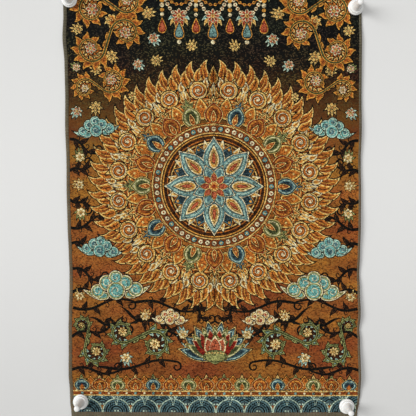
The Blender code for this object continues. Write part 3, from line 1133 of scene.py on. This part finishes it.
def weaveRosetteFlower(look):
    motif = newMotif("rosetteFlower")
    centre = look["centre"]
    for radius, sides, tone, proud in look["discs"]:
        addFill(motif, circlePath(centre, radius, sides), tone, proud, 7)
    for i, radius in enumerate(look["ribs"]):   # fine ribs show between the petals
        addThread(motif, circlePath(centre, radius, 90), 1.1, ("straw", "amber")[i % 2], 0.50,
                  rise=0.06, closed=True, step=3.0)
    for radius, tone in look["rings"]:
        addThread(motif, circlePath(centre, radius, 160), 1.1, tone, 0.50, closed=True)
    for row in look["flower"]:
        addRing(motif, centre, *row)
    addBeadRing(motif, centre, 8, 0.5, 40, 1.4, "gold", 0.70, 0.15)
    addDisc(motif, centre, 5.6, "goldHeart", 1.28, 20)
    addBead(motif, centre, 1.7, "garnet", 1.34)
    addBeadRing(motif, centre, 8, 0, 3.5, 0.8, "straw", 1.34, 0.15, 6)
    return finishMotif(motif)


def weaveRosettePearls(look):
    motif = newMotif("rosettePearls")
    for i in range(look["pearlCount"]):
        at = polar(look["centre"], look["pearls"], 2 * pi * i / look["pearlCount"])
        addBead(motif, at, 3.0, "ink", 0.47, 0.03)
        addBead(motif, at, 2.4, "cream" if i % 4 else "lagoon", 0.49, 0.2)
        addBead(motif, at, 0.9, "garnet" if i % 4 else "straw", 0.68, 0.1, 6)
    return finishMotif(motif)


motifs = [weave(rosette) for weave in (
    weaveRosetteRays, weaveRosetteCurls, weaveRosettePetals, weaveRosetteFlower,
    weaveRosettePearls)]


# scrolls fill the two top corners

cornerLook = {
    "pairs": (   # first scroll, second scroll (x, z, radius), spin
        ((-121, -6, 15), (-86, 4, 13), 1),
        ((-123, -45, 14), (-88, -29, 14), -1),
        ((-130, -85, 10), (-103, -76, 13), 1),
    ),
    "sprigs": (   # x, z, turn, size, leaf, petal
        (-60, -34, -0.9, 11, "tealLeaf", "rosePetal"),
        (-58, -57, 0.6, 11, "amberLeaf", "goldLeaf"),
        (-22, -42, 1.2, 11, "amberLeaf", "goldLeaf"),
        (-76, -60, -0.8, 10, "tealLeaf", "rosePetal"),
        (-138, -64, 2.6, 9, "mossLeaf", "rosePetal"),
        (-138, -108, -2.2, 10, "tealLeaf", "rosePetal"),
        (-137, 13, 1.4, 8, "mossLeaf", "rosePetal"),
        (-102, -16, -1.2, 13, "amberLeaf", "goldLeaf"),
        (-135, -26, 3.0, 11, "amberLeaf", "goldLeaf"),
        (-103, -52, -0.9, 12, "amberLeaf", "goldLeaf"),
        (-102, 14, 1.8, 10, "amberLeaf", "paleLeaf"),
        (-66, -9, 0.2, 12, "amberLeaf", "goldLeaf"),
        (-117, -66, 2.9, 11, "amberLeaf", "goldLeaf"),
        (-119, -103, -1.6, 12, "amberLeaf", "goldLeaf"),
        (-82, -92, -0.4, 10, "amberLeaf", "goldLeaf"),
    ),
}


def weaveCorners(look):
    motif = newMotif("cornerScrolls", mirrored=True)
    for x, z, turn, size, leaf, petal in look["sprigs"]:
        addSprig(motif, (x, z), turn, size, leaf, petal, "redHeart", 0.05)
    for first, second, spin in look["pairs"]:
        addDoubleScroll(motif, first, second, spin, "gold", 0.10, 1.25, 0.50, 1.25)
    return finishMotif(motif)


motifs.append(weaveCorners(cornerLook))


# a jewelled garland between them

garland = {
    "hooks": (-51, -17, 17, 51),   # x where the swags meet
    "height": 14.0,
    "drop": 25.0,
    "swags": ((25.0, 2.0, "cream", "garnet"), (13.75, 1.6, "gold", "bark")),
    "beadGap": 4.9,
    "fan": ((1.6, 15, "tealLeaf"), (1.1, 18, "goldLeaf"), (0.6, 17, "redLeaf")),
}


def weaveGarland(look):
    motif = newMotif("jewelGarland")
    hooks = look["hooks"]
    top = look["height"]
    for start, end in zip(hooks, hooks[1:]):
        span = end - start
        for drop, radius, tone, core in look["swags"]:
            path = [(start + span * i / 24, top - drop * 4 * (i / 24) * (1 - i / 24))
                    for i in range(25)]
            addThread(motif, path, 0.9, "amber", 0.04)
            for at in evenPath(path, look["beadGap"])[1:-1]:
                addBead(motif, at, radius + 0.6, "ink", 0.05, 0.02)
                addBead(motif, at, radius, tone, 0.07, 0.18)
                addBead(motif, at, radius * 0.42, core, 0.24, 0.08, 6)
        middle = (start + end) / 2
        foot = top - look["drop"]
        for side in (-1, 1):
            for spread, length, finish in look["fan"]:
                addShape(motif, "tongue", (middle, foot), -pi / 2 + side * spread, length, 6.6,
                         -side * 1.3, finish, 0.10)
        addShape(motif, "drop", (middle, foot - 5), -pi / 2, 19, 11, 0.0, "blueJewel", 0.16, 8)
        addBlossom(motif, (middle, foot), 8.2, 8, "rosePetal", "goldHeart", 0.2, scale=0.8)
        addBead(motif, (middle, foot - 26.5), 2.2, "cream", 0.16)
    for x in hooks:
        for level in range(4):
            addBead(motif, (x, top - 9.5 - 4.8 * level), 2.5 - 0.2 * level,
                    ("gold", "cream")[level % 2], 0.12)
        addShape(motif, "drop", (x, top - 27), -pi / 2, 16, 9, 0.0, "jewel", 0.12, 8)
        for side in (-1, 1):
            addShape(motif, "tongue", (x, top), -pi / 2 + side * 0.9, 15, 6.4, -side * 1.4,
                     "mossLeaf", 0.10)
        addBlossom(motif, (x, top + 1), 8.8, 8, "tealLeaf", "redHeart", 0.22, scale=0.8)
    return finishMotif(motif)


motifs.append(weaveGarland(garland))


# cloud scrolls in the corners that the rosette leaves free

cloudLook = {
    "groups": (   # x, z, size, turn, finish
        (-119, -124, 0.84, 0.14, "cloud"),
        (-117, -246, 0.86, -0.10, "cloud"),
        (-101, -286, 1.22, 0.06, "greenCloud"),
        (-46, -318, 0.70, -0.05, "paleCloud"),
    ),
    "sprigs": (   # x, z, turn, size, leaf
        (-136, -154, 1.7, 11, "mossLeaf"),
        (-136.5, -182, 3.1, 10, "redLeaf"),
        (-136, -210, -1.7, 11, "mossLeaf"),
    ),
    "lobes": (   # x, z, radius, spin
        (-16, -3, 6.4, 1),
        (16, -3.4, 6.8, -1),
        (-7.5, 3.4, 7.4, 1),
        (7.5, 2.8, 7.0, -1),
        (0, 7.4, 6.6, 1),
        (-0.5, -3.6, 8.2, -1),
    ),
}


def addCloud(motif, at, size, turn, finish, proud):
    line = finishes[finish][1][0]
    for side in (-1, 1):
        foot = place([(side * 6, -7.5)], at, turn, size)[0]
        heading = turn + (0.0 if side > 0 else pi)
        addShape(motif, "tongue", foot, heading, 27 * size, 9 * size, side * 0.8, finish,
                 proud, 8)
    for level, (x, z, radius, spin) in enumerate(cloudLook["lobes"]):
        centre = place([(x, z)], at, turn, size)[0]
        height = proud + 0.05 + 0.04 * level
        addDisc(motif, centre, radius * size, finish, height, 20)
        curl = place(spiralPath(radius * size * 0.56, 1.0, spin + turn, spin, step=1.2), centre)
        addThread(motif, curl, 0.8, line, height + 0.09, rise=0.08, step=1.3)


def weaveClouds(look):
    motif = newMotif("cloudScrolls", mirrored=True)
    for x, z, size, turn, finish in look["groups"]:
        addCloud(motif, (x, z), size, turn, finish, 0.20)
    for x, z, turn, size, leaf in look["sprigs"]:
        addSprig(motif, (x, z), turn, size, leaf, "creamPetal", "redHeart", 0.06)
    return finishMotif(motif)


motifs.append(weaveClouds(cloudLook))


# a lotus spray under the rosette

spray = {
    "lotus": (0, -360, 42.0),
    "lotusLeaves": ((0.18, 1.05, "tealLeaf"), (-0.10, 0.9, "mossLeaf")),   # lean, length, finish
    "lotusFans": (   # petals, spread, length, width, finish
        (8, 1.34, 0.98, 0.40, "bluePetal"),
        (7, 1.14, 0.86, 0.38, "greenPetal"),
        (6, 0.90, 0.74, 0.36, "rosePetal"),
        (3, 0.40, 0.58, 0.36, "creamPetal"),
    ),
    "pairs": (   # first scroll, second scroll (x, z, radius), spin, dress
        ((-62, -346, 14), (-95, -333, 12), -1, "green"),
        ((-122, -353, 12), (-137, -326, 8), 1, "green"),
    ),
    "sprigs": (   # x, z, turn, size, leaf
        (-33, -336, 2.0, 11, "tealLeaf"),
        (-92, -360, -1.2, 11, "tealLeaf"),
        (-139, -296, 2.0, 10, "redLeaf"),
        (-72, -317, 1.0, 10, "redLeaf"),
    ),
}


def addLotus(motif, look, at, size, proud):
    for side in (-1, 1):
        for lean, length, finish in look["lotusLeaves"]:
            turn = lean if side > 0 else pi - lean
            addShape(motif, "tongue", at, turn, size * length, size * 0.22, side * 0.7,
                     finish, proud, 8)
    for row, (count, spread, length, width, finish) in enumerate(look["lotusFans"]):
        # the outer petals first, so that the middle ones lie on top
        order = sorted(range(count), key=lambda i: -abs(i - (count - 1) / 2))
        for step, i in enumerate(order):
            lean = pi / 2 + spread * (2 * i / (count - 1) - 1)
            addShape(motif, "petal", at, lean, size * length, size * width, 0.0, finish,
                     proud + 0.06 + 0.10 * row + 0.012 * step, 8, scale=0.72)
    addShape(motif, "petal", (at[0], at[1] + size * 0.2), -pi / 2, size * 0.38, size * 0.62, 0.0,
             "mossLeaf", proud + 0.56, 8)
    for i in range(-3, 4):
        addBead(motif, (at[0] + i * size * 0.07, at[1] + size * 0.12 - 0.05 * i * i), 1.1,
                "straw", proud + 0.64, 0.12, 7)


def weaveSpray(look):
    motif = newMotif("sprayScrolls", mirrored=True)
    for x, z, turn, size, leaf in look["sprigs"]:
        addSprig(motif, (x, z), turn, size, leaf, "creamPetal", "goldHeart", 0.06)
    for first, second, spin, dress in look["pairs"]:
        addDoubleScroll(motif, first, second, spin, dress, 0.10)
    scrolls = finishMotif(motif)
    motif = newMotif("sprayLotus")
    x, z, size = look["lotus"]
    addLotus(motif, look, (x, z), size, 0.12)
    return scrolls, finishMotif(motif)


motifs.extend(weaveSpray(spray))


# along the foot: a row of lotus petals over rows of overlapping wave scales

borderLook = {
    "waveRadius": 14.7,
    "waveRows": 3,
    "waveCount": 10,         # whole waves across, one more where a row starts with a half
    "footLine": -417.4,
    "waveTones": (   # outer share, inner share, tone
        (1.0, 0.84, "pewter"),
        (0.84, 0.68, "ink"),
        (0.68, 0.52, "midnight"),
        (0.52, 0.36, "ink"),
        (0.36, 0.0, "pewter"),
    ),
    "petalFoot": -396.0,
    "petalLong": 19.0,
    "petalCount": 16,
    "petalTurns": ("bluePetal", "emberPetal", "greenPetal", "emberPetal"),
    "stripLow": -3.4,        # a russet strip along the petals' feet
    "stripHigh": 1.0,
}


borderReach = halfWide - panel["sideBand"]


def weaveWaves(look):
    motif = newMotif("waveScales")
    radius = look["waveRadius"]
    for row in range(look["waveRows"]):
        z = look["footLine"] + radius / 2 * (look["waveRows"] - 1 - row)
        proud = 0.06 + 0.06 * row
        shifted = row % 2
        for i in range(look["waveCount"] + shifted):
            x = -borderReach + radius * (2 * i if shifted else 2 * i + 1)
            start = pi / 2 if x > borderReach - 1 else 0.0   # half a wave at either end
            end = pi / 2 if x < 1 - borderReach else pi
            count = 12 if end - start > 2 else 6
            for outer, hollow, tone in look["waveTones"]:
                right, left = (arcPath((x, z), reach, start, end, count)
                               for reach in (radius * outer, max(radius * hollow, 0.3)))
                addBand(motif, right, left, tone, proud)
                width, line = (1.1, "mist") if outer == 1.0 else (0.9, "slate")
                addThread(motif, arcPath((x, z), radius * outer * 0.97, start, end, count * 2),
                          width, line, proud, step=2.2)
            for side in (-0.5, 0.5):
                if start == 0.0 or side < 0:
                    addBead(motif, (x + radius * 0.2 * side, z + 1.4), 0.9, "mist", proud, 0.1, 8)
    return finishMotif(motif)


def weavePetalRow(look):
    motif = newMotif("petalRow")
    wide = 2 * borderReach / look["petalCount"]
    foot = look["petalFoot"]
    strip = [-borderReach + 2 * borderReach * i / 60 for i in range(61)]
    high, low = ([(x, foot + look[side]) for x in strip] for side in ("stripHigh", "stripLow"))
    addBand(motif, low, high, "russet", 0.34)
    for line in (high, low):
        addThread(motif, line, 1.1, "straw", 0.34, step=4)
    for i in range(1, look["petalCount"]):
        addShape(motif, "petal", (-borderReach + wide * i, foot + 1), pi / 2,
                 look["petalLong"] * 0.94, wide * 0.60, 0.0, "backPetal", 0.08, 8)
    for i in range(look["petalCount"]):
        x = -borderReach + wide * (i + 0.5)
        lobe = "amberLeaf" if i % 2 else "mossLeaf"
        addFan(motif, "flame", (x, foot + look["petalLong"] * 0.52), pi / 2, [
            (spread, look["petalLong"] * share, lobe)
            for spread, share in ((0.66, 0.40), (-0.66, 0.40), (0.0, 0.56))],
            wide * 0.32, 0.8, 0.12, 6, 0.75)
        finish = look["petalTurns"][min(i, look["petalCount"] - 1 - i) % 4]
        addShape(motif, "petal", (x, foot + 0.5), pi / 2, look["petalLong"] * 0.84,
                 wide * 0.98, 0.0, finish, 0.16, 9, scale=0.72)
        addShape(motif, "leaf", (x, foot + 1.2), pi / 2, look["petalLong"] * 0.50,
                 wide * 0.34, 0.0, "emberHeart", 0.34, 7, scale=0.8)
        addBead(motif, (x, foot - 1.2), 1.5, "lagoon", 0.36, 0.15, 8)
        if i < look["petalCount"] - 1:
            addBead(motif, (x + wide / 2, foot - 1.2), 1.2, "cream", 0.36, 0.15, 8)
    return finishMotif(motif)


motifs.append(weaveWaves(borderLook))
motifs.append(weavePetalRow(borderLook))


# dark vines on the rust ground

vineLook = {
    "vines": (   # x, z, heading, length, sway, spin
        (-146, -136, -0.5, 30, 2.5, 1),
        (-147, -168, 0.2, 20, 1.5, 1),
        (-147, -197, -0.3, 20, 1.5, -1),
        (-147, -226, 0.3, 40, 3.0, -1),
        (-147, -242, -0.1, 26, 2.0, 1),
        (-147, -268, -0.35, 34, 3.0, 1),
        (-147, -292, 0.10, 34, 2.5, 1),
        (-146, -308, 0.12, 60, 3.5, -1),
        (-78, -302, -0.15, 60, 3.0, 1),
        (-88, -314, -0.36, 44, 3.5, -1),
        (-60, -332, -0.2, 40, 2.5, 1),
        (-24, -302, -0.9, 26, 2.0, 1),
        (-118, -322, -0.15, 30, 2.5, -1),
        (-147, -338, 0.25, 40, 3.0, 1),
        (-147, -372, -0.05, 46, 3.0, 1),
        (-112, -370, 0.08, 72, 3.0, -1),
        (-80, -322, 0.1, 40, 2.0, 1),
    ),
    "thick": 3.1,
    "endCurl": 5.2,          # radii of the curls at the end and beside the leaves
    "sideCurl": 3.0,
    "leafSpots": (0.14, 0.34, 0.54, 0.74),   # shares of the vine's length
    "leafLong": 11.5,
    "leafWide": 5.2,
}


def addVine(motif, look, at, heading, length, sway, spin, proud):
    thick, end = look["thick"], look["endCurl"]
    line = [(length * i / 40, sway * sin(2 * pi * i / 40) * spin) for i in range(41)]
    path = place(line, at, heading)
    curl = place(spiralPath(end, 1.1, pi / 2 * -spin, spin, step=1.2), (length, end * spin))
    addStem(motif, path, thick, "ink", proud, thick * 0.7)
    addStem(motif, place(curl, at, heading), thick * 0.7, "ink", proud, thick * 0.4)
    if at[0] > 12 - halfWide:   # a foot that's clear of the edge runs to a point
        tail = [(-1.2 * i, sway * sin(-2.4 * pi * i / length) * spin) for i in range(12)]
        addStem(motif, place(tail, at, heading), thick, "ink", proud, 0.4)
    for i, share in enumerate(look["leafSpots"]):
        spot = path[round(40 * share)]
        side = spin if i % 2 else -spin
        addShape(motif, "flame", spot, heading + side * 0.6, look["leafLong"],
                 look["leafWide"], side * 0.9, "nightLeaf", proud + 0.02, 7, scale=0.9)
        small = place(spiralPath(look["sideCurl"], 0.9, pi / 2 * side, -side, step=1.2),
                      (2.0, -look["sideCurl"] * side))
        addStem(motif, place(small, spot, heading), 1.2, "ink", proud, 0.7)


def weaveVines(look):
    motif = newMotif("groundVines", mirrored=True)
    for x, z, *vine in look["vines"]:
        addVine(motif, look, (x, z), *vine, 0.10)
    return finishMotif(motif)


motifs.append(weaveVines(vineLook))


# the overlocked edge: one stitch, modelled once and copied all the way round

overlock = {
    "pitch": 1.55,         # from stitch to stitch
    "threadWide": 1.25,
    "stand": 0.30,         # how far a stitch stands off the cloth
    "lean": 0.75,          # the slant of a stitch across the band
    "round": 0.16,         # how far the thread's middle stands out
    "endShare": 0.55,      # of the thread's width, where it goes into the cloth
}


def overlockMaterial():
    material, tree, shader = newMaterial("overlockThread")
    spot = objectSpot(tree)
    tone = maths(tree, "MULTIPLY_ADD", noise(tree, spot, 120.0, 2.0), 1.6, -0.3)
    colour = mixColour(tree, tone, paint(91, 85, 68), paint(121, 113, 91))
    hair = maths(tree, "MULTIPLY_ADD", noise(tree, spot, 900.0, 3.0), 1.2, -0.4)
    ply = addNode(tree, "TexWave", {"Vector": spot, "Scale": 620.0, "Distortion": 1.5},
                  bands_direction="DIAGONAL").outputs[1]
    finishShader(tree, shader, {
        "Base Color": mixColour(tree, hair, colour, paint(66, 62, 48)), "Roughness": 0.7,
        "Specular IOR Level": 0.2, "Sheen Weight": 0.05}, ply, 0.6, 0.12)
    return material


def stitchShape(look, band):
    # one loop of thread from the face, over the edge, to the back:
    # reach in from the edge, place along the edge, height off the face
    thick = panel["thick"] + panel["backOffWall"]
    stand = look["stand"]
    line = ((band, 0.02), (band * 0.9, stand), (band * 0.35, stand + 0.05),
            (-0.15, stand * 0.4), (-0.30, -thick / 2), (0.0, 0.04 - thick),
            (band * 0.8, 0.06 - thick))
    edge = 4   # the point of the line that is outermost
    points = []
    for k, (reach, height) in enumerate(line):
        slant = look["lean"] * (0.5 - k / (len(line) - 1))
        half = look["threadWide"] / 2 * (look["endShare"] if k in (0, len(line) - 1) else 1.0)
        for side in (-1, 0, 1):
            out = 0.0 if side else look["round"]
            if k == edge:
                points.append((reach - out, slant + side * half, height))
            elif k < edge:
                points.append((reach, slant + side * half, height + out))
            else:
                points.append((reach, slant + side * half, height - out * 0.3))
    faces = []
    for a in range(0, len(points) - 3, 3):
        b = a + 3
        faces += [(a, a + 1, b + 1, b), (a + 1, a + 2, b + 2, b + 1), (a + 2, a, b, b + 2)]
    last = len(points) - 3
    faces += [(0, 2, 1), (last, last + 1, last + 2)]
    return points, faces


def addOverlock(look):
    places = []
    faces = []

    def copyStitch(stitch, edgeX, edgeZ, inX, inZ):
        points, sides = stitch
        start = len(places)
        for reach, along, height in points:
            places.append((edgeX + inX * reach + abs(inZ) * along,
                           edgeZ + inZ * reach + abs(inX) * along, height))
        faces.extend(tuple(start + corner for corner in side) for side in sides)

    pitch = look["pitch"]
    leftStitch = stitchShape(look, panel["sideBand"])
    rightStitch = stitchShape(look, panel["rightBand"])
    for i in range(int(panel["height"] / pitch)):
        z = panelTop - pitch * (i + 0.5)
        copyStitch(leftStitch, -halfWide, z, 1, 0)
        copyStitch(rightStitch, halfWide, z, -1, 0)
    stitch = stitchShape(look, panel["endBand"])
    for i in range(int(panel["width"] / pitch)):
        x = -halfWide + pitch * (i + 0.5)
        copyStitch(stitch, x, panelTop, 0, -1)
        copyStitch(stitch, x, panelFoot, 0, 1)
    flat = np.array(places)
    piece = newPiece("overlockStitching", hang(flat[:, 0], flat[:, 1], flat[:, 2]), faces,
                     [overlockMaterial()])
    pickOnly(piece)
    bpy.ops.object.mode_set(mode="EDIT")
    bpy.ops.mesh.select_all(action="SELECT")
    bpy.ops.mesh.normals_make_consistent(inside=False)
    bpy.ops.object.mode_set(mode="OBJECT")
    bpy.ops.object.shade_smooth_by_angle(angle=radians(75))
    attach(piece, "root")
    print("edge overlocked,", len(faces), "faces")
    return piece


stitching = addOverlock(overlock)


# push pins: turned white plastic, on the steel needles of the frame

pinLook = {
    "sides": 56,
    "rings": (   # radius, height above the flange's back
        (7.4, 0.0), (7.7, 0.12), (7.8, 0.5), (7.8, 1.6), (7.65, 2.0), (7.3, 2.3),
        (6.7, 2.45), (6.4, 2.6), (6.4, 2.9), (6.5, 3.3), (6.5, 4.1), (6.4, 4.5),
        (6.15, 4.7), (5.85, 4.72), (5.5, 4.7), (5.15, 5.1), (4.75, 6.1), (4.35, 7.5),
        (3.95, 9.2), (3.6, 11.2), (3.32, 13.4), (3.12, 15.6), (3.02, 17.6),
        (3.02, 19.0), (3.04, 19.9), (2.92, 20.9), (2.6, 21.6), (2.0, 22.1), (1.1, 22.4)),
    "tip": 22.5,
    "colours": ((248, 248, 246), (236, 235, 229)),
}


def plasticMaterial(look):
    material, tree, shader = newMaterial("whitePlastic")
    spot = objectSpot(tree)
    cloud = noise(tree, spot, 90.0, 3.0)
    tone = maths(tree, "MULTIPLY_ADD", cloud, 1.4, -0.35)
    finishShader(tree, shader, {
        "Base Color": mixColour(tree, tone, *(paint(*rgb) for rgb in look["colours"])),
        "Roughness": maths(tree, "MULTIPLY_ADD", cloud, 0.16, 0.2),
        "Subsurface Weight": 0.12, "Subsurface Radius": (1.0, 0.9, 0.8),
        "Subsurface Scale": 0.0012}, noise(tree, spot, 1400.0, 2.0), 0.12, 0.08)
    return material


def steelMaterial():
    material, tree, shader = newMaterial("needleSteel")
    lines = noise(tree, stretched(tree, objectSpot(tree), 3000.0, 120.0, 3000.0), 1.0, 2.0)
    for key, value in {
            "Base Color": mixColour(tree, lines, (0.42, 0.43, 0.45, 1), (0.66, 0.67, 0.69, 1)),
            "Metallic": 1.0, "Roughness": maths(tree, "MULTIPLY_ADD", lines, 0.2, 0.18)}.items():
        plug(tree, shader.inputs[key], value)
    return material


def turnPin(look, plastic):   # one pin, standing on its flange's back, pointing up
    deselectAll()
    radius, height = look["rings"][0]
    bpy.ops.mesh.primitive_circle_add(vertices=look["sides"], radius=radius * mm,
                                      fill_type="NGON", location=(0, 0, height * mm))
    pin = bpy.context.object
    bpy.ops.object.transform_apply(location=True, rotation=True, scale=True)
    bpy.ops.object.mode_set(mode="EDIT")
    bpy.ops.mesh.select_mode(type="EDGE")
    bpy.ops.mesh.select_all(action="SELECT")
    bpy.ops.mesh.region_to_loop()
    for nextRadius, nextHeight in look["rings"][1:]:
        share = nextRadius / radius
        bpy.ops.mesh.extrude_edges_move(
            TRANSFORM_OT_translate={"value": (0, 0, (nextHeight - height) * mm)})
        bpy.ops.transform.resize(value=(share, share, 1))
        radius, height = nextRadius, nextHeight
    bpy.ops.mesh.extrude_edges_move(
        TRANSFORM_OT_translate={"value": (0, 0, (look["tip"] - height) * mm)})
    bpy.ops.mesh.merge(type="CENTER")
    bpy.ops.mesh.select_all(action="SELECT")
    bpy.ops.mesh.normals_make_consistent(inside=False)
    bpy.ops.object.mode_set(mode="OBJECT")
    bpy.ops.object.shade_smooth_by_angle(angle=radians(50))
    pin.data.materials.append(plastic)
    return pin


def addPins(look):
    plastic = plasticMaterial(look)
    steel = steelMaterial()
    model = turnPin(look, plastic)
    shape = pointsOf(model.data)
    pins = []
    for name in pinPlaces:
        low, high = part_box("pin_" + name)
        middle = (low + high) / 2
        pin = model.copy()
        pin.data = model.data.copy()
        pin.name = "pushPin_" + name
        bpy.context.collection.objects.link(pin)
        # its axis turns from up to straight out of the wall
        movePoints(pin.data, np.stack([middle.x + shape[:, 0], high.y - shape[:, 2],
                                       middle.z + shape[:, 1]], axis=-1))
        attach(pin, "root")
        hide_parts("pin_" + name)
        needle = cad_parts["needle_" + name]
        needle.data.materials.clear()
        needle.data.materials.append(steel)
        pins.append(pin)
    bpy.data.objects.remove(model)
    return pins


pins = addPins(pinLook)
print("pins set")
